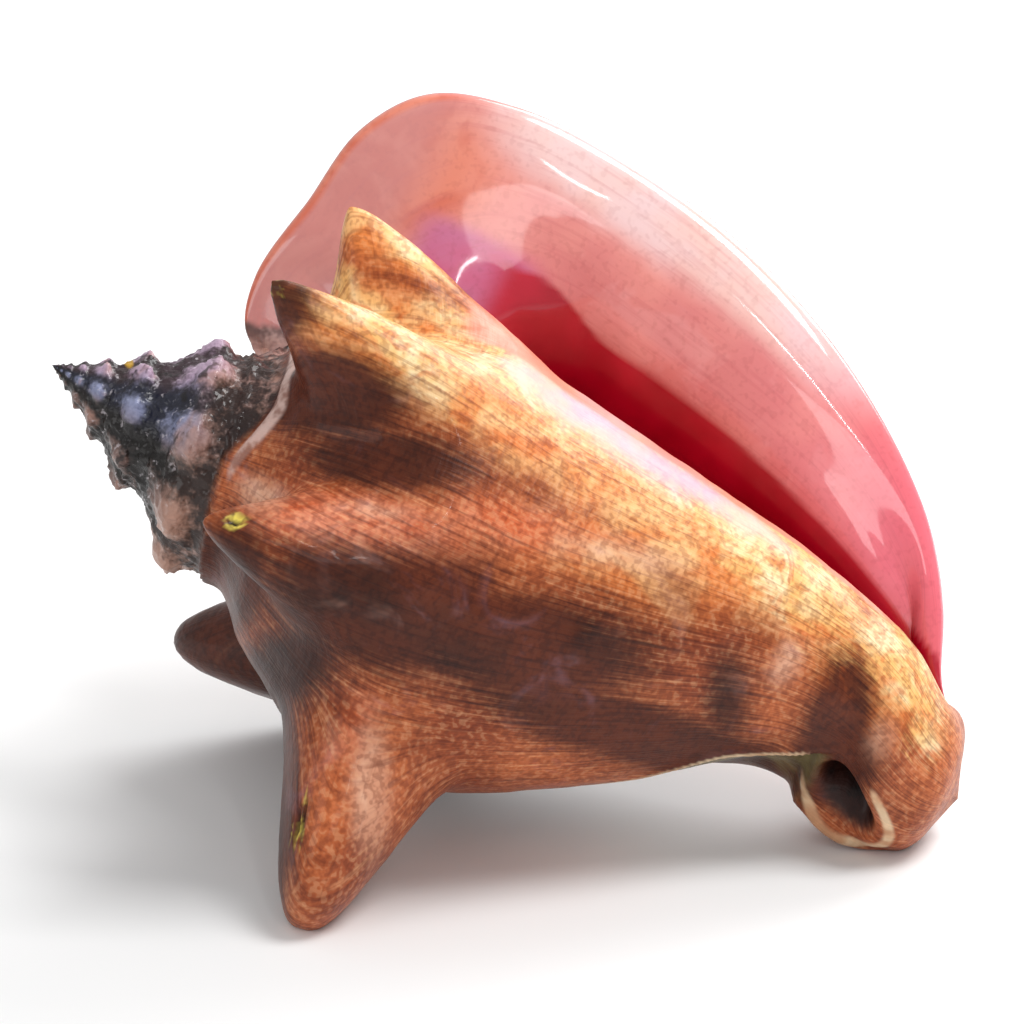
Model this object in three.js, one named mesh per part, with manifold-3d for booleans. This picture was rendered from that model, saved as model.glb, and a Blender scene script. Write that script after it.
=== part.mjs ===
// A queen conch shell: one grown piece with a knobbed spire, a spined shoulder, a flared lip and an open aperture.
// Units are millimetres. In the shell's own frame +X runs along the coiling axis from the apex to the front end,
// +Y points to the flared lip and +Z out of the belly. Angles are turned about +X, from +Y towards +Z, and the
// shell grows the same way. The last lines lay it on the ground, +Z up, on two spines and the end of the canal.
import * as THREE from "three";
import { mergeVertices } from "three/addons/utils/BufferGeometryUtils.js";
import Module from "manifold-3d";

// Driving dimensions
const LENGTH = 231; // from the apex to the end of the siphonal canal
const WHORL_GROWTH = 1.7; // size of each whorl over the one before it
const SPIRE_SLOPE = 0.64; // radius of the spire over the distance from the apex
const SUTURE = 40; // distance from the apex to the last suture, at angle 0
const SPIRE_KNOBS = 8; // knobs in each turn of the spire
const BODY_GROWTH = 0.13; // growth of the body whorl over half a turn
const WALL = 4; // thickness of the body whorl's wall
const LIP_RIM = 7.5; // thickness of the flared lip near its edge
const CAVITY_GAP = 16; // width of the aperture's throat
const CAVITY_TURN = 95; // how far the hollow winds back behind the lip, in degrees
const LIP_ROOT = 320; // angle where the lip leaves the body whorl
const LIP_BACK = 44; // axial reach of the lip's root line, back and front
const LIP_FRONT = 226;

// Radius of the body whorl from the last suture (0) to the front end (1), at angle 90
const BODY_PROFILE = [
  [0, 26], [0.045, 33], [0.12, 42], [0.19, 49.5], [0.28, 53.5], [0.37, 50], [0.455, 45.5],
  [0.58, 37], [0.69, 29], [0.78, 23.5], [0.87, 22.5], [0.93, 19], [0.973, 14], [1, 0],
];

// How far the whorl's centre line bends off the axis, towards the lip and towards the belly
const BEND_TO_LIP = [
  [0, 0], [20, -1.5], [40, -1.5], [60, 0], [110, 0], [130, 2], [154, 6], [173, 9.5], [190, 10], [207, 5], [218, 0],
  [231, -2.5],
];
const BEND_TO_BELLY = [[0, 0], [150, 0], [190, -2], [231, -9]];

// The flared lip's edge: distance from the apex, height towards the lip, height towards the belly
const LIP_EDGE = [
  [36, 27, -27], [35, 38, -30], [40, 57, -31], [44, 78, -31], [54, 91, -31], [72, 96, -31], [100, 95, -31],
  [134, 87.5, -28], [167, 72, -24], [193, 52, -21], [206, 35, -19], [216, 20, -17],
];

// The shoulder's spines, from the first one beside the aperture: base angle and distance from the apex, how far the
// tip leans to the front and stands out, the base's half width and reach to the front and back, and how blunt it is
const SPINES = [
  { name: "A", angle: 8, at: 64, lean: -17, out: 24, side: 26, front: 56, back: 19, blunt: 1.5 },
  { name: "B", angle: 50, at: 66, lean: -27, out: 18.5, side: 27, front: 64, back: 19, blunt: 1.5 },
  { name: "C", angle: 106, at: 76, lean: -27, out: 13, side: 32, front: 66, back: 22, blunt: 1.5 },
  { name: "D", angle: 160, at: 99, lean: 6, out: 39.6, side: 27, front: 31, back: 22, blunt: 2.6 },
  { name: "E", angle: 231, at: 84, lean: -33, out: 24, side: 21, front: 30, back: 20, blunt: 2.4 },
  { name: "F", angle: 244, at: 104, lean: 2, out: 29, side: 27, front: 42, back: 26, blunt: 2.2 },
  { name: "G", angle: 292, at: 90, lean: -12, out: 20, side: 26, front: 52, back: 24, blunt: 1.6 },
];

// The front end: the angle of the keel along it, and how far the surface steps back behind the keel
const KEEL = [[150, 185], [165, 165], [176, 151], [187, 143], [199, 128], [207, 118]];
const KEEL_STEP = 4;

// The hollow beside the canal: its middle, its half lengths along and round, its depth, and its wall's height
const HOLLOW = { angle: 152, at: 207, long: 10, wide: 9, depth: 11, wall: 3.5 };

// The valley that runs round the front end into the hollow
const VALLEY = { from: 70, to: 130, at: 201, halfWidth: 11, depth: 5 };

// How the shell lies: the axis falls to the front, and the belly is turned up
const AXIS_FALL = 25;
const BELLY_TURN = 67;
const FOOT_WEAR = 1; // worn off the lowest points, which leaves small flats

// Mesh counts: levels along the axis, and points round each level
const LEVELS = 62;
const ROUND_BODY = 56;
const ROUND_PARIETAL = 7;
const ACROSS_LIP = 8;
const ROUND_RIM = 2;
const ROUND_CAVITY = 5;
const SPINE_PULL = 0.5; // how strongly the mesh gathers on a spine

// Share of the levels passed at each distance from the apex: they are closest on the spire and the shoulder
const LEVEL_PLACES = [[0, 0], [0.04, 3], [0.26, 36], [0.66, 112], [0.84, 190], [0.95, 224], [1, 231]];

const RADIANS = Math.PI / 180;
const clamp = (x) => Math.min(1, Math.max(0, x));
const lerp = THREE.MathUtils.lerp;
const ease = (from, to, x) => {
  const t = clamp((x - from) / (to - from));
  return t * t * (3 - 2 * t);
};

// A smooth curve through a list of [x, value] pairs
function along(pairs, x) {
  const last = pairs.length - 1;
  if (x <= pairs[0][0]) return pairs[0][1];
  if (x >= pairs[last][0]) return pairs[last][1];
  let i = 0;
  while (x > pairs[i + 1][0]) i++;
  const slope = (a, b) => (pairs[b][1] - pairs[a][1]) / (pairs[b][0] - pairs[a][0]);
  const span = pairs[i + 1][0] - pairs[i][0];
  const m0 = slope(Math.max(i - 1, 0), i + 1) * span;
  const m1 = slope(i, Math.min(i + 2, last)) * span;
  const t = (x - pairs[i][0]) / span;
  const [y0, y1] = [pairs[i][1], pairs[i + 1][1]];
  return y0 + t * (m0 + t * (3 * (y1 - y0) - 2 * m0 - m1 + t * (2 * (y0 - y1) + m0 + m1)));
}

// An angle brought to between LIP_ROOT - 360 and LIP_ROOT
const onWhorl = (angle) => LIP_ROOT - THREE.MathUtils.euclideanModulo(LIP_ROOT - angle, 360);

// Share of the way back, from 0 where the lip leaves the whorl to 1 where the next turn has taken over under it
const underLip = (angle) => ease(LIP_ROOT - 360, LIP_ROOT - 360 + 50, onWhorl(angle));

// A value that grows with the angle, and falls back to its start under the lip
function grown(value, angle) {
  const turned = onWhorl(angle);
  return turned > 20 ? value(turned) : lerp(value(LIP_ROOT), value(turned), underLip(turned));
}

const sutureAt = (angle) => grown((a) => SUTURE * WHORL_GROWTH ** (a / 360), angle);
const bodySize = (angle) => grown((a) => 1 + (BODY_GROWTH * (a - 90)) / 180, angle);

function spireRadius(s, angle) {
  const turns = Math.log(Math.max(s, 0.5) / SUTURE) / Math.log(WHORL_GROWTH) - angle / 360;
  const whorl = Math.floor(turns);
  const within = turns - whorl; // 0 at a suture, 1 at the next
  const shoulder = 0.6;
  const relief = within < shoulder ? ease(0, shoulder, within) : 1 - ease(shoulder, 1, within);
  const knob = 0.5 + 0.5 * Math.cos(2 * Math.PI * SPIRE_KNOBS * (whorl + angle / 360));
  return SPIRE_SLOPE * s * (0.86 + relief * (0.1 + 0.18 * relief * knob));
}

function bodyRadius(s, angle) {
  const suture = sutureAt(angle);
  const share = (s - suture) / (LENGTH - suture);
  const radius = bodySize(angle) * along(BODY_PROFILE, share);
  return lerp(SPIRE_SLOPE * suture * 0.9, radius, ease(0, 0.08, share));
}

const coreRadius = (s, angle) => (s < sutureAt(angle) ? spireRadius(s, angle) : bodyRadius(s, angle));

const atPolar = (s, angle, radius) =>
  new THREE.Vector3(
    s,
    along(BEND_TO_LIP, s) + radius * Math.cos(angle * RADIANS),
    along(BEND_TO_BELLY, s) + radius * Math.sin(angle * RADIANS),
  );

// Share of the lip's root line passed at s, and how fully the lip and the hollow are open there
const lipShare = (s) => (s - LIP_BACK) / (LIP_FRONT - LIP_BACK);
const lipOpen = (s) => ease(0, 0.16, lipShare(s)) * ease(0, 0.14, 1 - lipShare(s));
const isLip = (s) => lipShare(s) > 0.015 && lipShare(s) < 0.985;

// Distance from a spine's middle over its base, 1 at the base's edge
function spineDistance(spine, s, angle, reach = 1) {
  const side = ((angle - spine.angle) * RADIANS * 55) / (spine.side * reach);
  const ahead = s - spine.at;
  return Math.hypot(side, ahead / ((ahead > 0 ? spine.front : spine.back) * reach));
}

// The outside of the spire and body whorl, with its spines, and its dip under the lip
function outside(s, angle) {
  const radius = coreRadius(s, angle) - (WALL + CAVITY_GAP) * lipOpen(s) * dipAt(angle);
  let [lean, out] = [0, 0];
  for (const spine of SPINES) {
    const distance = spineDistance(spine, s, angle);
    if (distance >= 1) continue;
    const height = (1 - distance ** spine.blunt) ** 4;
    lean += spine.lean * height;
    out += spine.out * height;
  }
  return atPolar(s, angle, radius + out + frontStep(s, angle)).add(new THREE.Vector3(lean, 0, 0));
}

// The front end's relief: the keel with its step, the valley, and the hollow inside its thin wall
function frontStep(s, angle) {
  const behind = (angle - along(KEEL, s)) * RADIANS * 24;
  const keel = ease(150, 172, s) * (1 - ease(198, 206, s));
  const ridge = 1 - ease(0, 3, Math.abs(behind));
  const step = ease(0, 3, behind) * (1 - ease(14, 24, behind)) * ease(160, 190, s) * (1 - ease(194, 198, s));
  const valley = ease(VALLEY.from, VALLEY.to, angle) * (1 - ease(150, 175, angle));
  const valleyWidth = 1 - ease(0, VALLEY.halfWidth, Math.abs(s - VALLEY.at));
  const across = ((angle - HOLLOW.angle) * RADIANS * 22) / HOLLOW.wide;
  const hollow = 1 - ease(0.2, 1, Math.hypot(across, (s - HOLLOW.at) / HOLLOW.long));
  const wall = ease(0.9, 1.3, across) * (1 - ease(1.3, 2, across)) * ease(193, 197, s) * (1 - ease(206, 224, s));
  return (
    1.2 * keel * ridge -
    KEEL_STEP * step -
    VALLEY.depth * valley * valleyWidth -
    HOLLOW.depth * hollow +
    HOLLOW.wall * wall
  );
}

// How far the surface has dipped into the hollow: none on the outside, all of it behind the lip's root
const dipAt = (angle) => 1 - ease(LIP_ROOT - 360, LIP_ROOT - 360 + 60, angle);

const cavityWall = (s, angle) => atPolar(s, angle, coreRadius(s, angle) - WALL * lipOpen(s));

// The edge of the lip, from the spire round to the canal
function lipEdgeCurve() {
  const root = (s) => atPolar(s, LIP_ROOT, coreRadius(s, LIP_ROOT));
  const points = [root(LIP_BACK), ...LIP_EDGE.map((p) => new THREE.Vector3(...p)), root(LIP_FRONT)];
  const curve = new THREE.CatmullRomCurve3(points, false, "centripetal");
  curve.arcLengthDivisions = 400;
  return curve;
}
const LIP_CURVE = lipEdgeCurve();
const LIP_MIDDLE = new THREE.Vector3(118, 40, -22); // what the lip's edge flares away from

// The outer face of the lip: across is 0 at the root and 1 at the edge
function lipFace(s, across) {
  const root = atPolar(s, LIP_ROOT, coreRadius(s, LIP_ROOT));
  const edge = LIP_CURVE.getPointAt(clamp(lipShare(s)));
  const reach = root.distanceTo(edge);
  const leave = new THREE.Vector3(0, -Math.sin(LIP_ROOT * RADIANS), Math.cos(LIP_ROOT * RADIANS));
  const flare = edge.clone().sub(LIP_MIDDLE).setZ(-18).normalize();
  const curve = new THREE.CubicBezierCurve3(
    root,
    root.clone().addScaledVector(leave, 0.4 * reach),
    edge.clone().addScaledVector(flare, -0.4 * reach),
    edge,
  );
  return curve.getPoint(across);
}

// The direction from the lip's outer face to its inner face
function lipNormal(s, across) {
  const step = 0.01;
  const [a, b] = across < 0.5 ? [across, across + step] : [across - step, across];
  const behind = Math.max(s - 0.5, LIP_BACK + 0.01);
  const ahead = Math.min(s + 0.5, LIP_FRONT - 0.01);
  const acrossWay = lipFace(s, b).sub(lipFace(s, a));
  const alongWay = lipFace(ahead, across).sub(lipFace(behind, across));
  return alongWay.cross(acrossWay).normalize();
}

const lipThickness = (s, across) => lipOpen(s) * lerp(WALL, LIP_RIM, ease(0.45, 0.95, across));

const lipInside = (s, across) => lipFace(s, across).addScaledVector(lipNormal(s, across), lipThickness(s, across));

function lipRim(s, turn) {
  const [outer, inner] = [lipFace(s, 1), lipInside(s, 1)];
  const middle = outer.clone().add(inner).multiplyScalar(0.5);
  const outward = lipFace(s, 1).sub(lipFace(s, 0.97)).normalize();
  return middle
    .addScaledVector(inner.clone().sub(outer), -0.5 * Math.cos(turn * Math.PI))
    .addScaledVector(outward, 0.5 * outer.distanceTo(inner) * Math.sin(turn * Math.PI));
}

const shares = (count) => Array.from({ length: count }, (_, i) => i / count);

// Gathers the mesh on the spines, so that they have enough faces
function gathered(s, angle) {
  let [s1, angle1] = [s, angle];
  for (const spine of SPINES) {
    const distance = spineDistance(spine, s, angle, 1.25);
    if (distance >= 1) continue;
    const pull = SPINE_PULL * (1 - distance ** 2) ** 2;
    s1 -= pull * (s - spine.at);
    angle1 -= pull * (angle - spine.angle);
  }
  return [s1, angle1];
}

// The points round one level: parietal wall, outside, lip's outer face, rim, lip's inner face, hollow
function levelPoints(s) {
  const back = LIP_ROOT - CAVITY_TURN * lipOpen(s);
  const seam = atPolar(s, LIP_ROOT, coreRadius(s, LIP_ROOT));
  const where = isLip(s);
  const open = (point) => (where ? point() : seam);
  return [
    ...shares(ROUND_PARIETAL).map((f) => open(() => outside(s, lerp(back, LIP_ROOT, f) - 360))),
    ...shares(ROUND_BODY).map((f) => outside(...gathered(s, LIP_ROOT - 360 + 360 * f))),
    ...shares(ACROSS_LIP).map((f) => open(() => lipFace(s, f))),
    ...shares(ROUND_RIM).map((f) => open(() => lipRim(s, f))),
    ...shares(ACROSS_LIP).map((f) => open(() => lipInside(s, 1 - f))),
    ...shares(ROUND_CAVITY).map((f) => open(() => cavityWall(s, lerp(LIP_ROOT, back, f)))),
  ];
}

const levelAt = (i) => along(LEVEL_PLACES, i / LEVELS);

function shellGeometry() {
  const positions = [];
  const rings = [];
  for (let i = 0; i <= LEVELS; i++) {
    const points = levelPoints(levelAt(i));
    rings.push(positions.length / 3);
    for (const p of points) positions.push(p.x, p.y, p.z);
  }
  const round = positions.length / 3 / rings.length;
  const index = [];
  for (let i = 0; i < LEVELS; i++)
    for (let j = 0; j < round; j++) {
      const next = (j + 1) % round;
      const [a, b] = [rings[i] + j, rings[i] + next];
      const [c, d] = [rings[i + 1] + next, rings[i + 1] + j];
      index.push(a, b, c, a, c, d);
    }
  const geometry = new THREE.BufferGeometry();
  geometry.setAttribute("position", new THREE.Float32BufferAttribute(positions, 3));
  geometry.setIndex(index);
  return geometry;
}

const wasm = await Module();
wasm.setup();

// A closed geometry as a solid: shared points are merged, and faces that close up to a line are left out
function solidOf(geometry) {
  const merged = mergeVertices(geometry, 1e-3);
  const index = merged.index.array;
  const kept = [];
  for (let i = 0; i < index.length; i += 3) {
    const [a, b, c] = [index[i], index[i + 1], index[i + 2]];
    if (a !== b && b !== c && c !== a) kept.push(a, b, c);
  }
  return new wasm.Manifold(
    new wasm.Mesh({
      numProp: 3,
      vertProperties: merged.attributes.position.array,
      triVerts: new Uint32Array(kept),
    }),
  );
}

// Wears flats on the lowest points of the lying shell, and brings it to the origin
function grounded(geometry) {
  geometry.rotateZ(-AXIS_FALL * RADIANS).rotateX(BELLY_TURN * RADIANS);
  geometry.computeBoundingBox();
  const { min, max } = geometry.boundingBox;
  const below = new THREE.BoxGeometry(999, 999, 100).deleteAttribute("normal").deleteAttribute("uv");
  below.translate(0, 0, min.z + FOOT_WEAR - 50);
  const worn = solidOf(geometry).subtract(solidOf(below)).getMesh();
  const result = new THREE.BufferGeometry();
  result.setAttribute("position", new THREE.Float32BufferAttribute(worn.vertProperties, 3));
  result.setIndex([...worn.triVerts]);
  result.translate(-(min.x + max.x) / 2, -(min.y + max.y) / 2, -min.z - FOOT_WEAR);
  return result;
}

const shell = new THREE.Mesh(
  grounded(shellGeometry()),
  new THREE.MeshStandardMaterial({ color: 0xc9814f, roughness: 0.25, metalness: 0 }),
);
shell.name = "shell";

const conch = new THREE.Group();
conch.add(shell);

export default conch;
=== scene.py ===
import math

import bpy
import numpy as np
from mathutils import Matrix, Vector, noise


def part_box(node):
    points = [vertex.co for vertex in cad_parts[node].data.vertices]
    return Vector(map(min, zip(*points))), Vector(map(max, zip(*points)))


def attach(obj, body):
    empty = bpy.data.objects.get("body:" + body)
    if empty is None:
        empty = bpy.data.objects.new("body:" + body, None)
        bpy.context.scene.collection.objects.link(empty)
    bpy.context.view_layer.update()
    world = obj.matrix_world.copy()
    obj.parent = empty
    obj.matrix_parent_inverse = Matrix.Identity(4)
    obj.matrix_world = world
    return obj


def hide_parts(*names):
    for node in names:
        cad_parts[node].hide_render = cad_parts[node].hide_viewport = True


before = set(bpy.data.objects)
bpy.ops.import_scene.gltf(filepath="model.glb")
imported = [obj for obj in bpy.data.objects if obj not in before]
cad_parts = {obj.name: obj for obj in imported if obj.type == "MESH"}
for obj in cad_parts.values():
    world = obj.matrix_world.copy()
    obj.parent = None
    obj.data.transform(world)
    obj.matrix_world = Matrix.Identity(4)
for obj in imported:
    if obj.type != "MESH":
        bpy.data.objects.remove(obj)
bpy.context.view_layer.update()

# The shell is shaped in its own frame, in millimetres: s along the coiling axis from the apex to the front
# end, y towards the flared lip and z out of the belly. Angles turn about the axis from y towards z, as the
# shell grows
LENGTH = 231.0
WHORL_GROWTH = 1.7
SPIRE_SLOPE = 0.64
SUTURE = 40.0
SPIRE_KNOBS = 8
BODY_GROWTH = 0.13
WALL = 4.0
LIP_RIM = 7.5
CAVITY_GAP = 16.0
CAVITY_TURN = 95.0
LIP_ROOT = 320.0
LIP_BACK, LIP_FRONT = 44.0, 226.0
AXIS_FALL = 25.0
BELLY_TURN = 67.0

BODY_PROFILE = [
    (0, 26), (0.045, 33), (0.12, 42), (0.19, 49.5), (0.28, 53.5), (0.37, 50), (0.455, 45.5),
    (0.58, 37), (0.69, 29), (0.78, 23.5), (0.87, 22.5), (0.93, 19), (0.973, 14), (1, 0),
]
BEND_TO_LIP = [
    (0, 0), (20, -1.5), (40, -1.5), (60, 0), (110, 0), (130, 2), (154, 6), (173, 9.5), (190, 10), (207, 5),
    (218, 0), (231, -2.5),
]
BEND_TO_BELLY = [(0, 0), (150, 0), (190, -2), (231, -9)]
LIP_EDGE = [
    (36, 27, -27), (35, 38, -30), (40, 57, -31), (44, 78, -31), (54, 91, -31), (72, 96, -31), (100, 95, -31),
    (134, 87.5, -28), (167, 72, -24), (193, 52, -21), (206, 35, -19), (216, 20, -17),
]
# Spine: base angle, distance from the apex, lean to the front, height, half width, reach to the front and to
# the back, bluntness
SPINES = {
    "A": (8, 64, -17, 24, 26, 56, 19, 1.5),
    "B": (50, 66, -27, 18.5, 27, 64, 19, 1.5),
    "C": (106, 76, -27, 13, 32, 66, 22, 1.5),
    "D": (160, 99, 6, 39.6, 27, 31, 22, 2.6),
    "E": (231, 84, -33, 24, 21, 30, 20, 2.4),
    "F": (244, 104, 2, 29, 27, 42, 26, 2.2),
    "G": (292, 90, -12, 20, 26, 52, 24, 1.6),
}
KEEL = [(150, 185), (165, 165), (176, 151), (187, 143), (199, 128), (207, 118)]
KEEL_STEP = 4
HOLLOW = {"angle": 152, "at": 207, "long": 10, "wide": 9, "depth": 11, "wall": 3.5}
VALLEY = {"from": 70, "to": 130, "at": 201, "half_width": 11, "depth": 5}
LIP_MIDDLE = (118, 40, -22)
LIP_FLARE_FALL = -18
LIP_FULLNESS = 0.4
# Distances from the axis at which the widths of spines, keel and pit are measured round it
SPINE_RADIUS, KEEL_RADIUS, PIT_RADIUS = 55, 24, 22

# The heights of the fine relief, the distance from the apex over which the crust grows to its full height,
# and how fine its lumps and pits and the body's waves are
RIBBON_HEIGHT, FOLD_HEIGHT, PIT_EDGE_HEIGHT, WAVE_HEIGHT = 1.5, 0.5, 0.5, 0.3
CRUST_LUMP_HEIGHT, CRUST_PIT_HEIGHT, CRUST_SINK = 0.7, 0.9, 0.3
CRUST_GROWS = 20
LUMP_GRAIN, PIT_GRAIN, WAVE_GRAIN = 0.3, 0.55, 0.09

# Mesh counts: levels along the axis, and points round each level
LEVELS = 290
ROUND_PARIETAL, ROUND_BODY = ((20, 206))
ACROSS_LIP, ROUND_RIM, ROUND_CAVITY = ((36, 8, 18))
# Where the levels lie: the share of their number, and the distance from the apex
LEVEL_PLACES = [(0, 0), (0.04, 3), (0.28, 36), (0.64, 112), (0.84, 190), (0.95, 224), (1, 231)]
# How strongly, and how far beyond its edge, a spine gathers the points round it
SPINE_PULL, GATHER_REACH = 0.4, 1.25
# The runs of points round a level
PARIETAL, BODY, LIP_OUTSIDE, RIM, LIP_INSIDE, CAVITY = range(6)


def ease(start, end, x):
    """Rises smoothly from 0 to 1 between start and end."""
    t = np.clip((np.asarray(x, float) - start) / (end - start), 0, 1)
    return t * t * (3 - 2 * t)


def lerp(a, b, t):
    return a + (b - a) * t


def along(pairs, x):
    """A smooth curve through (x, value) pairs, for an array x."""
    px, py = (np.array(v, float) for v in zip(*pairs))
    x = np.clip(x, px[0], px[-1])
    i = np.clip(np.searchsorted(px, x, side="right") - 1, 0, len(px) - 2)
    before, after = np.maximum(i - 1, 0), np.minimum(i + 2, len(px) - 1)
    span = px[i + 1] - px[i]
    m0 = (py[i + 1] - py[before]) / (px[i + 1] - px[before]) * span
    m1 = (py[after] - py[i]) / (px[after] - px[i]) * span
    t = (x - px[i]) / span
    rise = py[i + 1] - py[i]
    return py[i] + t * (m0 + t * (3 * rise - 2 * m0 - m1 + t * (-2 * rise + m0 + m1)))


def on_whorl(angle):
    """The angle brought into the last turn before the lip's root."""
    return LIP_ROOT - np.mod(LIP_ROOT - angle, 360)


def grown(value, angle):
    """A value that grows with the angle, and falls back to its start under the lip."""
    turned = on_whorl(angle)
    share = ease(LIP_ROOT - 360, LIP_ROOT - 310, turned)
    return np.where(turned > 20, value(turned), lerp(value(LIP_ROOT), value(turned), share))


def suture_at(angle):
    """Where the last suture lies along the axis."""
    return grown(lambda a: SUTURE * WHORL_GROWTH ** (a / 360), angle)


def body_size(angle):
    return grown(lambda a: 1 + BODY_GROWTH * (a - 90) / 180, angle)


def spire_parts(s, angle):
    """Relief (0 to 1) and knob (0 to 1) of the spire at a place."""
    turns = np.log(np.maximum(s, 0.5) / SUTURE) / math.log(WHORL_GROWTH) - angle / 360
    whorl = np.floor(turns)
    within = turns - whorl
    relief = np.where(within < 0.6, ease(0, 0.6, within), 1 - ease(0.6, 1, within))
    knob = 0.5 + 0.5 * np.cos(2 * math.pi * SPIRE_KNOBS * (whorl + angle / 360))
    return relief, knob


def core_radius(s, angle):
    """The distance of the outside from the axis, without spines."""
    relief, knob = spire_parts(s, angle)
    spire = SPIRE_SLOPE * s * (0.86 + relief * (0.1 + 0.18 * relief * knob))
    suture = suture_at(angle)
    share = (s - suture) / (LENGTH - suture)
    body = body_size(angle) * along(BODY_PROFILE, share)
    body = lerp(SPIRE_SLOPE * suture * 0.9, body, ease(0, 0.08, share))
    return np.where(s < suture, spire, body)


def at_polar(s, angle, radius):
    """A point at an angle and distance from the axis, which bends along the shell."""
    turn = np.radians(angle)
    return np.stack(
        [
            s + 0 * radius,
            along(BEND_TO_LIP, s) + radius * np.cos(turn),
            along(BEND_TO_BELLY, s) + radius * np.sin(turn),
        ],
        axis=-1,
    )


def lip_share(s):
    """How far along the lip a level lies: 0 at its back end, 1 at its front end."""
    return (s - LIP_BACK) / (LIP_FRONT - LIP_BACK)


def lip_open(s):
    """How far the aperture is open at a level, from 0 to 1."""
    return ease(0, 0.16, lip_share(s)) * ease(0, 0.14, 1 - lip_share(s))


def is_lip(s):
    return 0.015 < lip_share(s) < 0.985


def dip_at(angle):
    """How deep the belly is sunk beside the aperture, from 0 to 1."""
    return 1 - ease(LIP_ROOT - 360, LIP_ROOT - 300, angle)


def spine_distance(spine, s, angle, reach=1.0):
    """The distance from a spine's middle, 1 at its edge."""
    base, at, _, _, side, front, back, _ = SPINES[spine]
    ahead = s - at
    return np.hypot(
        np.radians(angle - base) * SPINE_RADIUS / (side * reach),
        ahead / (np.where(ahead > 0, front, back) * reach),
    )


def front_step(s, angle):
    """The front end's relief: the keel with its step, the valley, and the hollow inside its thin wall."""
    behind = np.radians(angle - along(KEEL, s)) * KEEL_RADIUS
    keel = ease(150, 172, s) * (1 - ease(198, 206, s))
    ridge = 1 - ease(0, 3, np.abs(behind))
    step = ease(0, 3, behind) * (1 - ease(14, 24, behind)) * ease(160, 190, s) * (1 - ease(194, 198, s))
    valley = ease(VALLEY["from"], VALLEY["to"], angle) * (1 - ease(150, 175, angle))
    valley_width = 1 - ease(0, VALLEY["half_width"], np.abs(s - VALLEY["at"]))
    across = np.radians(angle - HOLLOW["angle"]) * PIT_RADIUS / HOLLOW["wide"]
    hollow = 1 - ease(0.2, 1, np.hypot(across, (s - HOLLOW["at"]) / HOLLOW["long"]))
    wall = ease(0.9, 1.3, across) * (1 - ease(1.3, 2, across)) * ease(193, 197, s) * (1 - ease(206, 224, s))
    return (
        1.2 * keel * ridge
        - KEEL_STEP * step
        - VALLEY["depth"] * valley * valley_width
        - HOLLOW["depth"] * hollow
        + HOLLOW["wall"] * wall
    )


def outside(s, angle):
    """The outer surface with its spines, each of which leans along the axis as it rises."""
    radius = core_radius(s, angle) - (WALL + CAVITY_GAP) * lip_open(s) * dip_at(angle)
    lean = 0 * radius
    for name, (_, _, spine_lean, out, _, _, _, blunt) in SPINES.items():
        distance = np.minimum(spine_distance(name, s, angle), 1)
        height = (1 - distance**blunt) ** 4
        lean = lean + spine_lean * height
        radius = radius + out * height
    point = at_polar(s, angle, radius + front_step(s, angle))
    point[..., 0] += lean
    return point


def cavity_wall(s, angle):
    return at_polar(s, angle, core_radius(s, angle) - WALL * lip_open(s))


def between(low, high, t, a, b):
    return ((high - t) * a + (t - low) * b) / (high - low)


def smooth_path(points, count=3000, steps=80):
    """A centripetal Catmull-Rom curve, sampled at even distances."""
    p = np.array(points, float)
    p = np.vstack([2 * p[0] - p[1], p, 2 * p[-1] - p[-2]])
    out = []
    for i in range(1, len(p) - 2):
        four = p[i - 1 : i + 3]
        knots = np.concatenate([[0], np.cumsum(np.linalg.norm(np.diff(four, axis=0), axis=1) ** 0.5)])
        t = np.linspace(knots[1], knots[2], steps, endpoint=i == len(p) - 3)[:, None]
        three = [between(knots[k], knots[k + 1], t, four[k], four[k + 1]) for k in range(3)]
        two = [between(knots[k], knots[k + 2], t, three[k], three[k + 1]) for k in range(2)]
        out.append(between(knots[1], knots[2], t, *two))
    path = np.vstack(out)
    reach = np.concatenate([[0], np.cumsum(np.linalg.norm(np.diff(path, axis=0), axis=1))])
    even = np.linspace(0, reach[-1], count)
    return np.stack([np.interp(even, reach, path[:, k]) for k in range(3)], axis=-1)


def lip_root(s):
    return at_polar(s, LIP_ROOT, core_radius(s, LIP_ROOT))


LIP_PATH = smooth_path([lip_root(np.array(LIP_BACK)), *LIP_EDGE, lip_root(np.array(LIP_FRONT))])


def lip_face(s, across):
    """The outer face of the lip: across is 0 at the root and 1 at the edge."""
    root = lip_root(s)
    place = np.clip(lip_share(s), 0, 1) * (len(LIP_PATH) - 1)
    edge = np.stack([np.interp(place, np.arange(len(LIP_PATH)), LIP_PATH[:, k]) for k in range(3)], axis=-1)
    reach = np.linalg.norm(edge - root, axis=-1)[..., None]
    leave = np.array([0, -math.sin(math.radians(LIP_ROOT)), math.cos(math.radians(LIP_ROOT))])
    flare = edge - np.array(LIP_MIDDLE)
    flare[..., 2] = LIP_FLARE_FALL
    flare = flare / np.linalg.norm(flare, axis=-1)[..., None]
    t = np.asarray(across)[..., None]
    return (
        (1 - t) ** 3 * root
        + 3 * (1 - t) ** 2 * t * (root + LIP_FULLNESS * reach * leave)
        + 3 * (1 - t) * t**2 * (edge - LIP_FULLNESS * reach * flare)
        + t**3 * edge
    )


def lip_normal(s, across):
    step = 0.01
    low = np.where(across < 0.5, across, across - step)
    across_way = lip_face(s, low + step) - lip_face(s, low)
    ahead = np.minimum(s + 0.5, LIP_FRONT - 0.01)
    behind = np.maximum(s - 0.5, LIP_BACK + 0.01)
    along_way = lip_face(ahead, across) - lip_face(behind, across)
    normal = np.cross(along_way, across_way)
    return normal / np.linalg.norm(normal, axis=-1)[..., None]


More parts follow.
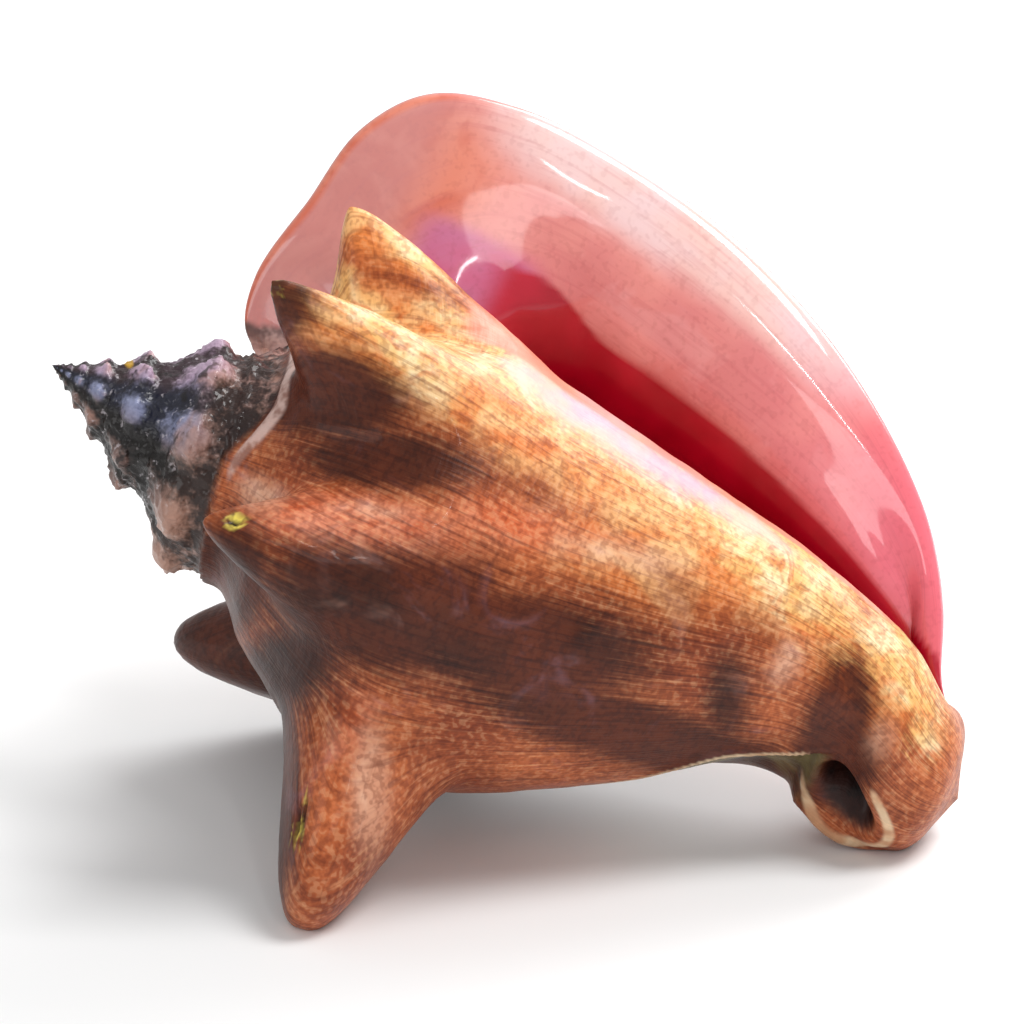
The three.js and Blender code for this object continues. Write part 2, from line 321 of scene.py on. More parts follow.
def lip_inside(s, across):
    """The inner face of the lip, which thickens towards the rim."""
    thick = lip_open(s) * lerp(WALL, LIP_RIM, ease(0.45, 0.95, across))
    return lip_face(s, across) + lip_normal(s, across) * thick[..., None]


def lip_rim(s, turn):
    """The rounded rim: turn is 0 at the outer face and 1 at the inner one."""
    one = 1 + 0 * turn
    outer, inner = lip_face(s, one), lip_inside(s, one)
    outward = outer - lip_face(s, 0.97 * one)
    outward = outward / np.linalg.norm(outward, axis=-1)[..., None]
    half = 0.5 * np.linalg.norm(outer - inner, axis=-1)[..., None]
    bend = (turn * math.pi)[..., None]
    return 0.5 * (outer + inner) - 0.5 * np.cos(bend) * (inner - outer) + half * np.sin(bend) * outward


def gathered(s, angle):
    """Gathers the mesh on the spines."""
    s1, angle1 = s + 0 * angle, angle + 0 * s
    for name, (base, at, *_rest) in SPINES.items():
        distance = np.minimum(spine_distance(name, s, angle, GATHER_REACH), 1)
        pull = SPINE_PULL * (1 - distance**2) ** 2
        s1 = s1 - pull * (s - at)
        angle1 = angle1 - pull * (angle - base)
    return s1, angle1


def shares(count):
    return np.arange(count) / count


def shell_points():
    """Rows of points along the shell, and at each point its s, angle, part and share across the part."""
    rows = []
    for i in range(LEVELS + 1):
        s = float(along(LEVEL_PLACES, np.array(i / LEVELS)))
        s = 0.0 if i == 0 else s
        has_lip = is_lip(s)
        back = LIP_ROOT - CAVITY_TURN * float(lip_open(s))
        seam = lip_root(np.array(s))
        runs = []

        def put(points, at, angle, part, across):
            """Adds a run. Where there is no lip, all runs but the body's shrink to its seam."""
            if part != BODY and not has_lip:
                points = np.broadcast_to(seam, points.shape)
                angle = 0 * angle + LIP_ROOT
                part = BODY
            runs.append(np.column_stack([points, at, angle, np.full(len(points), part), across]))

        f = shares(ROUND_PARIETAL)
        at, angle = s + 0 * f, lerp(back, LIP_ROOT, f) - 360
        put(outside(at, angle), at, angle, PARIETAL, f)
        f = shares(ROUND_BODY)
        at, angle = gathered(s + 0 * f, LIP_ROOT - 360 + 360 * f)
        put(outside(at, angle), at, angle, BODY, f)
        f = shares(ACROSS_LIP)
        at, angle = s + 0 * f, LIP_ROOT + 0 * f
        put(lip_face(at, f), at, angle, LIP_OUTSIDE, f)
        f = shares(ROUND_RIM)
        at, angle = s + 0 * f, LIP_ROOT + 0 * f
        put(lip_rim(at, f), at, angle, RIM, f)
        f = shares(ACROSS_LIP)
        at, angle = s + 0 * f, LIP_ROOT + 0 * f
        put(lip_inside(at, 1 - f), at, angle, LIP_INSIDE, 1 - f)
        f = shares(ROUND_CAVITY)
        at, angle = s + 0 * f, lerp(LIP_ROOT, back, f)
        put(cavity_wall(at, angle), at, angle, CAVITY, f)
        rows.append(np.vstack(runs))
    return np.array(rows)


def close_triangles(points):
    """Faces of the grid of points, with points that coincide welded and collapsed faces left out."""
    levels, around, _ = points.shape
    flat = points.reshape(-1, 3)
    _, first, same = np.unique(np.round(flat, 3), axis=0, return_index=True, return_inverse=True)
    same = same.reshape(levels, around)
    here, there = same[:-1], same[1:]
    quads = np.stack([here, np.roll(here, -1, 1), np.roll(there, -1, 1), there], axis=-1).reshape(-1, 4)
    faces = []
    for quad in quads.tolist():
        corners = [v for k, v in enumerate(quad) if v != quad[k - 1]]
        if len(set(corners)) >= 3:
            faces.append(corners)
    return first, faces


ROWS = shell_points()
FIRST, FACES = close_triangles(ROWS[:, :, :3])
KEPT = ROWS.reshape(-1, ROWS.shape[-1])[FIRST]
POINTS = KEPT[:, :3]
S, ANGLE, PART, ACROSS = KEPT[:, 3:].T
TURN = on_whorl(ANGLE)
BELLY = PART == BODY
LIP_BEGUN = ease(47, 53, S)
RELIEF, KNOB = spire_parts(S, ANGLE)
AFTER_SUTURE = S - suture_at(ANGLE)
# The crust of the last spire whorl overgrows the suture above the belly
CRUST_END = 7 * ease(-30, 5, TURN) * (1 - ease(58, 100, TURN))
SPIRE = np.maximum(BELLY * (1 - ease(-1.5, 1.5, AFTER_SUTURE - CRUST_END)), ~BELLY * (1 - LIP_BEGUN))


def spot(s, turn, half_s, half_turn):
    """A soft spot on the whorl, 1 at its middle."""
    away = np.mod(TURN - turn + 180, 360) - 180
    return BELLY * np.exp(-(((S - s) / half_s) ** 2) - (away / half_turn) ** 2)


def most(*values):
    """Several masks as one, from 0 to 1."""
    return np.clip(np.maximum.reduce(values), 0, 1)


# A distance beyond the edge of every worn hole
FAR = 9
# Holes worn into the spines' tips: s, turn, radius and depth in millimetres, and the share of the radius
# painted dark as painted shade inside the hole
WORN = [(66, 50, 3.4, 0.5, 0.22), (79, 103, 2.0, 1.4, 0.6), (92.5, 151, 2.8, 1.6, 0.7)]


def worn_distance(s, turn, radius):
    """Distance from a worn hole's middle, 1 at its edge, measured on the finished surface."""
    middle = outside(np.array(float(s)), np.array(float(turn)))
    apart = np.linalg.norm(POINTS - middle, axis=1) / radius
    return np.where(BELLY, apart, FAR)


# The ribbon of callus that runs along the last suture, from the lip's end to the belly
RIBBON_OFF, RIBBON_HALF_WIDTH = 2.5, 1.5
RIBBON_LENGTH = BELLY * ease(-38, -20, TURN) * (1 - ease(80, 115, TURN))
RIBBON = RIBBON_LENGTH * np.exp(-(((AFTER_SUTURE - CRUST_END - RIBBON_OFF) / RIBBON_HALF_WIDTH) ** 2))

# Soft folds across the front end, beside the valley
FOLDS = spot(180, 100, 26, 40) * np.sin(np.radians(TURN * 9 - S * 6))

# How far from the middle of the pit at the front end a place lies: 1 at its mouth
PIT_ACROSS = np.radians(TURN - HOLLOW["angle"]) * PIT_RADIUS / HOLLOW["wide"]
PIT = np.hypot(PIT_ACROSS, (S - HOLLOW["at"]) / HOLLOW["long"])
PIT_EDGE = BELLY * np.exp(-(((PIT - 1.25) / 0.17) ** 2)) * most(ease(160, 172, TURN), ease(208, 213, S))


def relief():
    """The push along the normal, in millimetres, of ribbon, folds, pit edge, worn holes, crust and waves."""
    push = RIBBON_HEIGHT * RIBBON + FOLD_HEIGHT * FOLDS + PIT_EDGE_HEIGHT * PIT_EDGE
    for s, turn, radius, depth, _ in WORN:
        push -= depth * (1 - ease(0.35, 1.0, worn_distance(s, turn, radius)))
    for i, p in enumerate(POINTS):
        here = Vector(p)
        if SPIRE[i] > 0.02:
            lumps = noise.fractal(here * LUMP_GRAIN, 0.8, 2.1, 3)
            pits = abs(noise.noise(here * PIT_GRAIN))
            crust_push = CRUST_LUMP_HEIGHT * lumps + CRUST_PIT_HEIGHT * pits - CRUST_SINK
            push[i] += SPIRE[i] * min(1.0, S[i] / CRUST_GROWS) * crust_push
        if PART[i] in (PARIETAL, BODY, LIP_OUTSIDE):
            push[i] += (1 - SPIRE[i]) * WAVE_HEIGHT * noise.fractal(here * WAVE_GRAIN, 1.0, 2.0, 3)
    return push


mesh = bpy.data.meshes.new("conch")
mesh.from_pydata(POINTS.tolist(), [], FACES)
mesh.update()
NORMALS = np.empty(len(POINTS) * 3)
mesh.vertices.foreach_get("normal", NORMALS)
SHAPED = POINTS + NORMALS.reshape(-1, 3) * relief()[:, None]

# The shell lies down and takes the place of the plain solid
LIE = Matrix.Rotation(math.radians(BELLY_TURN), 3, "X") @ Matrix.Rotation(math.radians(-AXIS_FALL), 3, "Z")
WORLD = SHAPED @ np.array(LIE).T / 1000
LOW, HIGH = (np.array(v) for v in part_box("shell"))
SHIFT = (LOW + HIGH) / 2 - (WORLD.min(0) + WORLD.max(0)) / 2
SHIFT[2] = HIGH[2] - WORLD[:, 2].max()
WORLD = WORLD + SHIFT
WORLD[:, 2] = np.maximum(WORLD[:, 2], 0)
mesh.vertices.foreach_set("co", WORLD.ravel())
mesh.polygons.foreach_set("use_smooth", [True] * len(mesh.polygons))
mesh.update()
print("mesh", len(mesh.vertices), "vertices", sum(len(f) - 2 for f in FACES), "triangles")

shell = bpy.data.objects.new("conch", mesh)
bpy.context.scene.collection.objects.link(shell)
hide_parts("shell")
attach(shell, "root")


def patch(x, y, half_length, half_width, tilt=0.0):
    """A soft patch on the side that faces up, its length tilted from the axis towards the lip."""
    turned = math.radians(tilt)
    ahead, beside = POINTS[:, 0] - x, POINTS[:, 1] - y
    length = (ahead * math.cos(turned) + beside * math.sin(turned)) / half_length
    width = (beside * math.cos(turned) - ahead * math.sin(turned)) / half_width
    return FACES_UP * np.exp(-(length**2) - width**2)


# How far round the axis a place is from the upper side of the spire, in degrees either way. The spire is
# painted lighter there and darker further round, partly as painted light and shade
SPIRE_TOP = 20
SIDE = np.abs(np.mod(TURN - SPIRE_TOP + 180, 360) - 180)

# Where each colour lies. The side that faces up is painted in patches: x, y, half length, half width, tilt.
# The hidden side is painted in spots: s, turn, half length, half angle. SLOT_TOP is the upper edge of the
# crimson slot
X, Y = POINTS[:, 0], POINTS[:, 1]
FACES_UP = BELLY * ease(-30, -5, TURN) * (1 - ease(185, 215, TURN))
SLOT_TOP = along(
    [(60, 67), (84, 66), (96, 66), (112, 59), (124, 57), (150, 51), (184, 38.6), (209, 27), (231, 20)], X
)
INNER = PART == LIP_INSIDE
IN_SLOT = INNER * (1 - ease(-0.8, 0.8, Y - SLOT_TOP))
THROAT = most(np.isin(PART, (PARIETAL, CAVITY)) * 1.0, IN_SLOT * ease(80, 88, X))
MAGENTA = INNER * (1 - ease(-2, 9, Y - SLOT_TOP)) * ease(54, 70, X) * (1 - ease(84, 104, X))
COLD = INNER * (1 - ease(52, 66, X))
CALLUS = most(
    BELLY * (1 - ease(20, 30, TURN)) * ease(74, 90, X) * (1 - ease(190, 212, X)),
    BELLY * (1 - ease(-8, 2, TURN)) * (1 - ease(196, 216, S)),
)
STRIP = BELLY * ease(14, 30, TURN) * (1 - ease(30, 50, TURN)) * ease(84, 104, X) * (1 - ease(155, 185, X))
GLOW = most(
    patch(104, 37, 60, 15, -6),
    0.9 * patch(150, 30, 40, 17, -8),
    patch(60, 36, 26, 8, -12),
    patch(60, 60, 22, 8),
    0.8 * patch(200, 18, 22, 12, -20),
    0.55 * patch(136, 14, 34, 11, -6),
)
CREAM = most(
    0.9 * patch(64, 40, 32, 6, -20),
    patch(104, 43, 34, 8, -8),
    patch(168, 32, 30, 13, -22),
    patch(146, 38, 26, 9, -14),
    patch(205, 20, 16, 8, -30),
    0.95 * patch(58, 63, 22, 5, -30),
    0.7 * patch(216, 8, 10, 6, -60),
    0.5 * spot(214, 60, 12, 30),
)
# Dark brown patches, partly the shell's own markings and partly painted shade: in the valley between the
# spines B and C, on the flanks of B, C and D that face away from the light, along the lower side and over the
# spine E
BROWN_AND_SHADE = most(
    patch(62, 20, 20, 10, 20),
    0.95 * patch(80, 13, 22, 7, 20),
    patch(92, -18, 32, 15, 14),
    patch(124, -12, 34, 12, 20),
    patch(88, -63, 30, 4.5, -65),
    patch(58, -27, 12, 15),
    0.9 * patch(158, -19, 52, 8, 8),
    0.7 * patch(171, -3, 7, 14, 25),
    0.95 * patch(197, 2, 8, 17, 10),
    patch(200, -6, 11, 11),
    0.9 * patch(78, -40, 11, 22, -30),
    0.7 * patch(45, 34, 7, 12),
    0.8 * spot(140, 230, 70, 40),
    spot(80, 205, 40, 24),
    spot(84, 236, 26, 22),
    0.6 * spot(90, 280, 30, 24),
)
# Peach patches, partly the shell's own tone and partly painted highlight, as the long patch on the spine D
PEACH_AND_HIGHLIGHT = most(
    0.9 * patch(108, -57, 20, 5.5, -65),
    0.7 * patch(180, 9, 5, 8),
    0.6 * patch(208, 3, 5, 8),
    0.8 * patch(58, -6, 8, 5),
    0.6 * patch(84, 2, 14, 3, 18),
    0.6 * patch(136, 16, 26, 6, 14),
)
CORAL = most(
    patch(80, -3, 28, 8, 16),
    0.7 * patch(112, 12, 24, 8, 14),
    0.6 * patch(98, -44, 6, 14),
    0.5 * patch(104, 30, 20, 6),
)
GOLD = patch(15.5, 8, 1.8, 1.3)
LIP = np.isin(PART, (LIP_OUTSIDE, RIM, LIP_INSIDE))
EDGE = np.isin(PART, (RIM, LIP_INSIDE))
TOP_EDGE = np.where(EDGE, ease(0.35, 0.9, ACROSS) * (1 - ease(84, 124, S)), 0)
# A pale band near the lip's outer edge: a painted reflection of the light where the edge rolls back
EDGE_REFLECTION = np.where(EDGE, ease(0.62, 0.92, ACROSS) * ease(92, 120, S) * (1 - ease(160, 186, S)), 0)
FRONT_EDGE = np.where(EDGE, ease(0.6, 1.0, ACROSS) * ease(150, 195, S), 0)
LIP_END = np.where(LIP, 1 - ease(49, 60, S), 0)
BEHIND_KEEL = np.radians(TURN - along(KEEL, S)) * KEEL_RADIUS
# A pale line along the keel: a painted highlight where the edge catches the light
KEEL_HIGHLIGHT = BELLY * ease(112, 140, S) * (1 - ease(192, 197, S)) * np.exp(-((BEHIND_KEEL / 0.9) ** 2))
# Painted shade, tinted olive as a painted reflection of the ground, on the underside beyond the keel
KEEL_SHADE_LENGTH = BELLY * ease(150, 165, S) * (1 - ease(196, 200, S))
KEEL_UNDERSIDE_SHADE = KEEL_SHADE_LENGTH * ease(0.6, 2.5, BEHIND_KEEL) * (1 - ease(10, 26, BEHIND_KEEL))
HOLE_EDGE = 0.12
# Painted shade inside the worn holes
HOLE_SHADE = most(*[1 - ease(dark - HOLE_EDGE, dark, worn_distance(*hole)) for *hole, _, dark in WORN])
HOLE_RIMS = most(*[1 - ease(0.95, 1.2, worn_distance(*hole)) for *hole, _, _ in WORN])

# The growth lines run on across the outside of the lip, which takes up this many degrees of them
LIP_LINES_FROM, LIP_LINES = 322, 40
MASKS = {
    "s": S,
    "turn": np.where(PART == LIP_OUTSIDE, LIP_LINES_FROM + LIP_LINES * ACROSS, TURN),
    "across": np.where(LIP, ACROSS, 0),
    "side": SIDE,
    "relief": RELIEF * KNOB,
    "spire": SPIRE,
    "gold": GOLD,
    "ribbon": RIBBON,
    "glow": GLOW,
    "cream": CREAM,
    "dark": BROWN_AND_SHADE,
    "peach_and_highlight": PEACH_AND_HIGHLIGHT,
    "coral": CORAL,
    "callus": CALLUS,
    "strip": STRIP,
    "keel_and_pit_highlight": most(KEEL_HIGHLIGHT, PIT_EDGE),
    "keel_underside_shade": KEEL_UNDERSIDE_SHADE,
    # The pit, painted near black as painted shade
    "pit_shade": BELLY * (1 - ease(0.55, 1.05, PIT)),
    "hole_shade": HOLE_SHADE,
    "hole_rims": HOLE_RIMS,
    "pink": ~np.isin(PART, (BODY, LIP_OUTSIDE)) * LIP_BEGUN,
    "throat": THROAT,
    "magenta": MAGENTA,
    "cold": COLD,
    "top_edge": TOP_EDGE,
    "edge_reflection": EDGE_REFLECTION,
    "front_edge": FRONT_EDGE,
    "lip_end": LIP_END,
}
# The mesh holds them three to a vector, which the material reads quicker than one by one
MASK_NAMES = list(MASKS)
for first in range(0, len(MASK_NAMES), 3):
    vectors = np.zeros((len(POINTS), 3))
    for k, name in enumerate(MASK_NAMES[first : first + 3]):
        vectors[:, k] = MASKS[name]
    attribute = mesh.attributes.new(f"masks {first // 3}", "FLOAT_VECTOR", "POINT")
    attribute.data.foreach_set("vector", vectors.ravel())

material = bpy.data.materials.new("shell")
material.use_nodes = True
nodes, links = material.node_tree.nodes, material.node_tree.links
nodes.clear()
output = nodes.new("ShaderNodeOutputMaterial")
shader = nodes.new("ShaderNodeBsdfPrincipled")
links.new(shader.outputs[0], output.inputs[0])


def colour(code):
    """A hex colour as the shader wants it, linear."""
    part = [int(code[i : i + 2], 16) / 255 for i in (0, 2, 4)]
    return [c / 12.92 if c <= 0.04045 else ((c + 0.055) / 1.055) ** 2.4 for c in part] + [1]


def connect(socket, value):
    """Gives a socket a colour, a number or another node's output."""
    if isinstance(value, str):
        socket.default_value = colour(value)
    elif isinstance(value, (int, float)):
        socket.default_value = value
    else:
        links.new(value, socket)


splits = {}


def read(name):
    """A mask, from the vector that the mesh holds it in."""
    vector, k = divmod(MASK_NAMES.index(name), 3)
    if vector not in splits:
        node = nodes.new("ShaderNodeAttribute")
        node.attribute_name = f"masks {vector}"
        splits[vector] = nodes.new("ShaderNodeSeparateXYZ")
        links.new(node.outputs["Vector"], splits[vector].inputs[0])
    return splits[vector].outputs[k]


def calc(kind, a, b=0.0):
    node = nodes.new("ShaderNodeMath")
    node.operation = kind
    connect(node.inputs[0], a)
    connect(node.inputs[1], b)
    return node.outputs[0]


def add(a, b):
    return calc("ADD", a, b)


def times(a, b):
    return calc("MULTIPLY", a, b)


def swing(by, amount):
    """A noise moved to lie on both sides of 0."""
    return times(add(by, -0.5), amount)


def ramp(value, low, high, to_low=0.0, to_high=1.0):
    node = nodes.new("ShaderNodeMapRange")
    node.interpolation_type = "SMOOTHSTEP"
    keys = ("Value", "From Min", "From Max", "To Min", "To Max")
    for key, setting in zip(keys, (value, low, high, to_low, to_high)):
        connect(node.inputs[key], setting)
    return node.outputs[0]


def mix(share, a, b, kind="MIX"):
    node = nodes.new("ShaderNodeMix")
    node.data_type = "RGBA"
    node.blend_type = kind
    for socket, value in zip((node.inputs[0], node.inputs[6], node.inputs[7]), (share, a, b)):
        connect(socket, value)
    return node.outputs[2]


def times_colour(a, b):
    return mix(1.0, a, b, "MULTIPLY")


def vary(by, low, high, first, second):
    """A colour that a noise varies from the first to the second."""
    return mix(ramp(by, low, high), first, second)


def place(x, y, z=0.0):
    node = nodes.new("ShaderNodeCombineXYZ")
    for socket, value in zip(node.inputs, (x, y, z)):
        connect(socket, value)
    return node.outputs[0]


def grain(where, scale, detail=4.0, rough=0.6, twist=0.0):
    node = nodes.new("ShaderNodeTexNoise")
    connect(node.inputs["Vector"], where)
    node.inputs["Scale"].default_value = scale
    node.inputs["Detail"].default_value = detail
    node.inputs["Roughness"].default_value = rough
    node.inputs["Distortion"].default_value = twist
    return node.outputs["Fac"]


def broken(mask, by, strength=0.9, low=0.38, high=0.62):
    """A mask whose edges a noise breaks up."""
    return ramp(add(mask, swing(by, strength)), low, high)


here = nodes.new("ShaderNodeTexCoord").outputs["Object"]
s, turn = read("s"), read("turn")
# Noise that is stretched: growth lines run along the shell, cords run round it
growth = place(times(s, 0.022), times(turn, 0.35), times(read("across"), 16.0))
cords = place(times(s, 0.5), times(turn, 0.06))
flames = place(times(s, 0.09), times(turn, 0.22))

blotch = grain(here, 24, 3, 0.62)
marble = grain(here, 60, 3, 0.65, 0.8)
vein = grain(here, 95, 1, 0.6, 2.2)
speck = grain(here, 560, 1, 0.7)
line = grain(growth, 2.2, 3, 0.62)
cord = grain(cords, 1.6, 2, 0.6)
flame = grain(flames, 1.3, 3, 0.65)
crust = grain(here, 130, 3, 0.7)
scale = grain(here, 420, 2, 0.75)

# The outside: rust, orange glow towards the lip, coral ridges, dark brown patches that are partly painted
# shade, peach patches that are partly painted highlight, marbled cream
body = vary(blotch, 0.34, 0.66, "8c3f1f", "c46a3c")
glow = times(broken(read("glow"), blotch, 0.7, 0.15, 0.75), 0.95)
body = mix(glow, body, vary(marble, 0.36, 0.64, "e0823f", "f6bd7c"))
coral = times(broken(read("coral"), blotch, 0.8, 0.2, 0.85), 0.8)
body = mix(coral, body, vary(marble, 0.4, 0.62, "d2633a", "e68c68"))
body = mix(times(ramp(line, 0.3, 0.46, 1.0, 0.0), 0.22), body, "f7c08e")
body = mix(times(ramp(speck, 0.34, 0.46, 1.0, 0.0), 0.14), body, "ffcf9c")
# The shell's dark markings and, in the same patches, painted shade
dark = times(broken(read("dark"), add(times(blotch, 0.6), times(line, 0.4)), 1.5, 0.02, 0.7), 0.97)
body = mix(dark, body, vary(blotch, 0.35, 0.65, "2a0c03", "56200a"))
# Peach, partly painted highlight
peach_and_highlight = times(broken(read("peach_and_highlight"), add(times(blotch, 0.5), times(line, 0.5)), 1.0, 0.2, 0.9), 0.8)
body = mix(peach_and_highlight, body, vary(marble, 0.4, 0.62, "d39a7c", "e6b89c"))
cream = times(broken(read("cream"), flame, 1.2, 0.3, 0.8), 0.9)
body = mix(cream, body, vary(marble, 0.4, 0.62, "f0b96f", "f8e0ae"))
body = mix(times(times(ramp(vein, 0.55, 0.66), read("cream")), 0.6), body, "d8692c")
body = mix(times(ramp(line, 0.48, 0.7), 0.5), body, times_colour(body, "935c47"))
body = mix(times(ramp(cord, 0.54, 0.72), 0.2), body, times_colour(body, "87513d"))
body = mix(times(ramp(speck, 0.46, 0.64), 0.4), body, times_colour(body, "8f6252"))

# The callus beside the aperture: coral, next to a pale pink strip with lilac clouds
strip = times(broken(read("strip"), marble, 1.2, 0.05, 0.95), 0.85)
body = mix(strip, body, vary(blotch, 0.42, 0.6, "e8b19c", "c9a0b8"))
callus = vary(marble, 0.38, 0.64, "e67f66", "f09c84")
callus = mix(times(ramp(blotch, 0.5, 0.66), 0.5), callus, "dca0ac")
callus = mix(times(ramp(line, 0.5, 0.7), 0.25), callus, "d97a6c")
body = mix(broken(read("callus"), marble, 0.5, 0.3, 0.75), body, callus)

# The spire: its upper side is lilac, its middle blue and grey and its lower side dark brown, partly as
# painted light above and painted shade below, with pinkish knobs, pale scales, dark crevices, a rusty last
# whorl and one golden spot
raised = add(read("relief"), add(swing(crust, 1.5), swing(scale, 0.9)))
# Lighter on the upper side and darker on the lower side: partly painted light and shade
lit_lilac = vary(raised, 0.05, 0.8, "3a2a30", "b59bb2")
middle = vary(raised, 0.05, 0.8, "1d1e2c", "858aa8")
shaded_brown = vary(raised, 0.1, 0.9, "120c0a", "7a625c")
side = add(read("side"), swing(blotch, 90.0))
spire = vary(side, 30.0, 54.0, lit_lilac, vary(side, 72.0, 98.0, middle, shaded_brown))
spire = mix(times(ramp(marble, 0.5, 0.62), 0.6), spire, vary(raised, 0.1, 0.8, "231512", "b08474"))
spire = mix(times(ramp(scale, 0.6, 0.72), 0.5), spire, "d3cbd0")
spire = mix(times(ramp(crust, 0.36, 0.46, 1.0, 0.0), 0.8), spire, "120c0c")
spire = mix(times(ramp(s, 32.0, 42.0), 0.8), spire, vary(raised, 0.0, 0.7, "33201a", "b98d7a"))
spire = mix(times(ramp(read("gold"), 0.4, 0.7), 0.9), spire, "c79a2e")
surface = mix(read("spire"), body, spire)
ribbon = times(ramp(read("ribbon"), 0.2, 0.6), 0.85)
surface = mix(ribbon, surface, vary(crust, 0.4, 0.6, "9c7468", "e0c0b6"))

# Painted shade with an olive painted reflection on the underside behind the keel, painted shade in the pit, a
# painted highlight along the keel and the pit's rim, and the worn tips with painted shade inside their holes
surface = mix(times(read("keel_underside_shade"), 0.85), surface, vary(marble, 0.4, 0.6, "2c2415", "756a40"))
# The pit is painted near black as painted shade
surface = mix(ramp(read("pit_shade"), 0.1, 0.8), surface, vary(crust, 0.4, 0.6, "130605", "2a0f09"))
# A painted highlight along the keel and round the pit's rim
keel_and_pit_highlight = times(ramp(read("keel_and_pit_highlight"), 0.3, 0.85), 0.75)
surface = mix(keel_and_pit_highlight, surface, vary(marble, 0.4, 0.6, "c89a74", "e6cda8"))
surface = mix(times(read("hole_rims"), 0.9), surface, vary(crust, 0.42, 0.56, "ecd760", "4a2413"))
# Painted shade inside the worn holes, near black
surface = mix(read("hole_shade"), surface, "160c07")

# Inside the lip: salmon pink, coral at the top edge, a pale band of painted reflection beside it, rose to the
# front, magenta at the back of the slot, crimson down in the aperture, and dark crust at the lip's end
lip = vary(blotch, 0.35, 0.65, "d67f7d", "e8998f")
lip = mix(times(ramp(marble, 0.5, 0.7), 0.35), lip, "e9a9a6")
top_edge = times(broken(read("top_edge"), blotch, 0.7, 0.25, 0.85), 0.85)
lip = mix(top_edge, lip, vary(marble, 0.4, 0.62, "cf5f3c", "df7f62"))
lip = mix(times(read("front_edge"), 0.5), lip, "ee6654")
edge_reflection = times(broken(read("edge_reflection"), blotch, 0.6, 0.1, 0.9), 0.75)
lip = mix(edge_reflection, lip, vary(blotch, 0.4, 0.6, "f0cfc4", "e9d6d8"))
lip = mix(times(ramp(s, 150.0, 200.0), 0.65), lip, "e85f7c")
magenta = times(broken(read("magenta"), marble, 0.4, 0.15, 0.9), 0.85)
lip = mix(magenta, lip, vary(blotch, 0.4, 0.6, "c8477c", "bc6a98"))
lip = mix(times(ramp(line, 0.48, 0.7), 0.2), lip, "b9505a")
lip = mix(times(ramp(speck, 0.5, 0.7), 0.14), lip, times_colour(lip, "b98080"))
lip = mix(times(read("cold"), 0.6), lip, "c98f90")
lip = mix(read("throat"), lip, vary(blotch, 0.35, 0.65, "a80524", "c81036"))
lip_end = times(broken(read("lip_end"), marble, 0.8), 0.85)
lip = mix(lip_end, lip, vary(crust, 0.4, 0.6, "2e241e", "a58a82"))
surface = mix(read("pink"), surface, lip)
links.new(surface, shader.inputs["Base Color"])

# The lip is polished, the outside is satin under a thin wet film, and the crust is wetter than that
pink, rough_places = read("pink"), calc("MAXIMUM", read("spire"), read("lip_end"))
connect(shader.inputs["Roughness"], ramp(add(pink, swing(crust, 0.4)), 0.1, 0.9, 0.42, 0.3))
connect(shader.inputs["Coat Weight"], add(ramp(pink, 0.0, 1.0, 0.1, 1.0), times(rough_places, 0.3)))
shader.inputs["Coat Roughness"].default_value = 0.06
shader.inputs["Specular IOR Level"].default_value = 0.2

# Depths of the bumps, in metres
FINE_BUMP, CRUST_BUMP = 0.00045, 0.0016


def bump(depth, strength, height):
    node = nodes.new("ShaderNodeBump")
    node.inputs["Distance"].default_value = depth
    connect(node.inputs["Strength"], strength)
    connect(node.inputs["Height"], height)
    return node


fine = add(times(line, 0.5), add(times(cord, 0.5), times(speck, 0.25)))
bump_fine = bump(FINE_BUMP, ramp(pink, 0.0, 1.0, 0.9, 0.12), fine)
bump_crust = bump(CRUST_BUMP, times(rough_places, 0.8), add(crust, times(speck, 0.3)))
links.new(bump_fine.outputs[0], bump_crust.inputs["Normal"])
links.new(bump_crust.outputs[0], shader.inputs["Normal"])
mesh.materials.append(material)

# The floor and the light
FLOOR_REACH = 6.0
floor_mesh = bpy.data.meshes.new("floor")
corners = [(x * FLOOR_REACH, y * FLOOR_REACH, 0) for x, y in ((-1, -1), (1, -1), (1, 1), (-1, 1))]
floor_mesh.from_pydata(corners, [], [(0, 1, 2, 3)])
floor = bpy.data.objects.new("floor", floor_mesh)
bpy.context.scene.collection.objects.link(floor)
floor_material = bpy.data.materials.new("floor")
floor_material.use_nodes = True
floor_shader = floor_material.node_tree.nodes["Principled BSDF"]
floor_shader.inputs["Base Color"].default_value = (0.9, 0.9, 0.9, 1)
floor_shader.inputs["Roughness"].default_value = 0.9
floor_shader.inputs["Specular IOR Level"].default_value = 0.1
floor_mesh.materials.append(floor_material)

WORLD_STRENGTH = 0.55
world = bpy.data.worlds.new("studio")
world.use_nodes = True
background = world.node_tree.nodes["Background"]
background.inputs["Color"].default_value = (1, 1, 1, 1)
background.inputs["Strength"].default_value = WORLD_STRENGTH
bpy.context.scene.world = world
bpy.context.scene.view_settings.view_transform = "Standard"

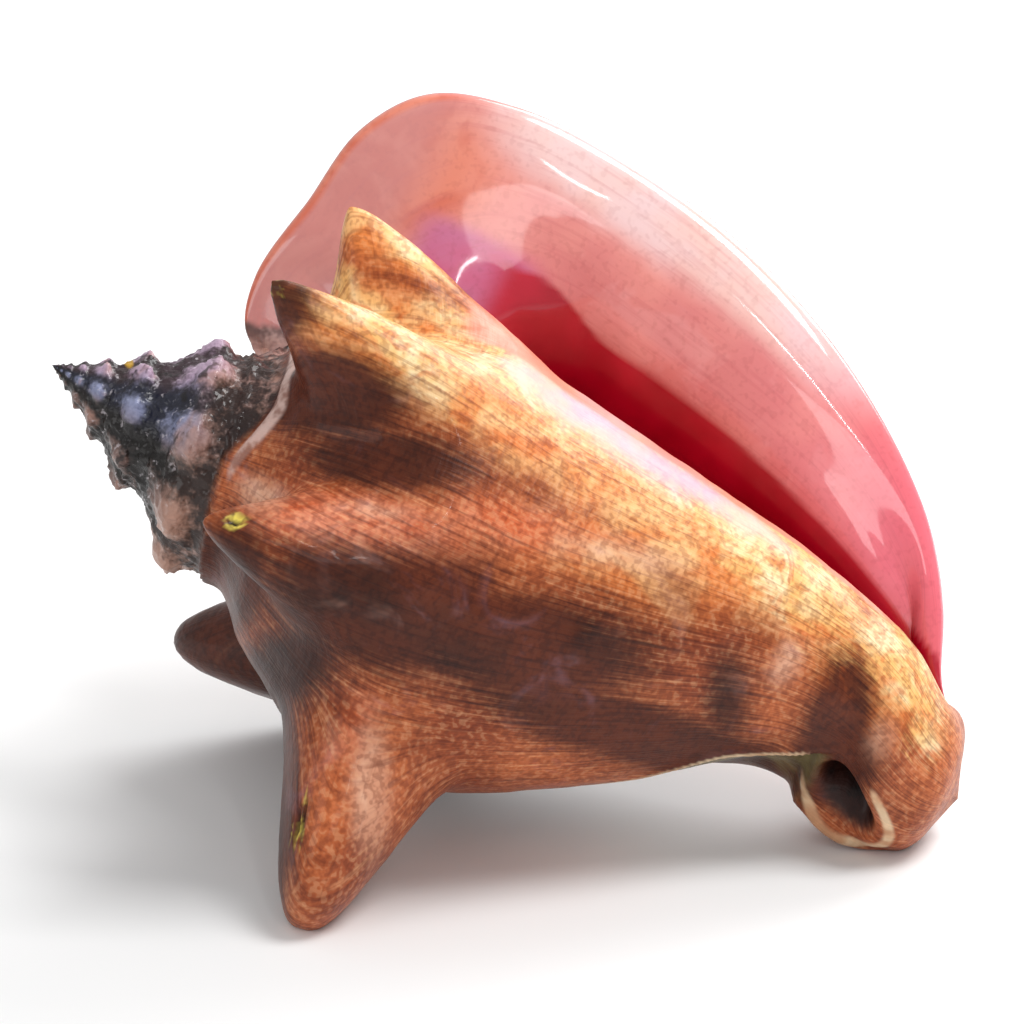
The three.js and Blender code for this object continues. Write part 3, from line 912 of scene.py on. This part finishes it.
# Light: azimuth and rise in degrees, distance, width and height in metres, power in watts
LIGHTS_FACE = Vector((0, 0, 0.09))
LIGHTS = {
    "key": (75, 62, 1.2, 0.45, 0.45, 9),
    "window behind": (142, 32, 1.1, 0.75, 0.75, 11),
    "window in front": (8, 29, 1.8, 0.45, 0.3, 1.6),
    "strip": (15, 41, 1.2, 0.012, 0.3, 0.5),
    "low fill": (-60, 25, 1.3, 0.6, 0.5, 2),
}


def panel(name, azimuth, rise, distance, width, height, power):
    """A soft light that faces the shell: its azimuth is 0 at the camera's side and grows to the right."""
    turned, raised = math.radians(azimuth), math.radians(rise)
    level = math.cos(raised)
    ray = Vector((math.sin(turned) * level, -math.cos(turned) * level, math.sin(raised)))
    light = bpy.data.lights.new(name, "AREA")
    light.shape = "RECTANGLE"
    light.size, light.size_y = width, height
    light.energy = power
    lamp = bpy.data.objects.new(name, light)
    lamp.location = LIGHTS_FACE + ray * distance
    lamp.rotation_euler = ray.to_track_quat("Z", "Y").to_euler()
    bpy.context.scene.collection.objects.link(lamp)


for name, row in LIGHTS.items():
    panel(name, *row)

# The camera looks as the photo does: the apex at its pixel, and so many pixels to a millimetre
PHOTO_WIDTH = 1024
PHOTO_APEX = (52, 365)
PHOTO_SCALE = 4.36
PHOTO_MIDDLE = PHOTO_WIDTH // 2
DISTANCE = 1.5
SENSOR = 36
RAISE = math.radians(90 - BELLY_TURN)
camera_data = bpy.data.cameras.new("camera")
camera = bpy.data.objects.new("camera", camera_data)
bpy.context.scene.collection.objects.link(camera)
bpy.context.scene.camera = camera
across_view = Vector((1, 0, 0)) * (PHOTO_MIDDLE - PHOTO_APEX[0])
up_view = Vector((0, math.sin(RAISE), math.cos(RAISE))) * (PHOTO_APEX[1] - PHOTO_MIDDLE)
middle = Vector(SHIFT) + (across_view + up_view) / PHOTO_SCALE / 1000
camera.location = middle + Vector((0, -math.cos(RAISE), math.sin(RAISE))) * DISTANCE
camera.rotation_euler = (math.pi / 2 - RAISE, 0, 0)
camera_data.sensor_width = SENSOR
camera_data.lens = SENSOR * DISTANCE * PHOTO_SCALE / (PHOTO_WIDTH / 1000)
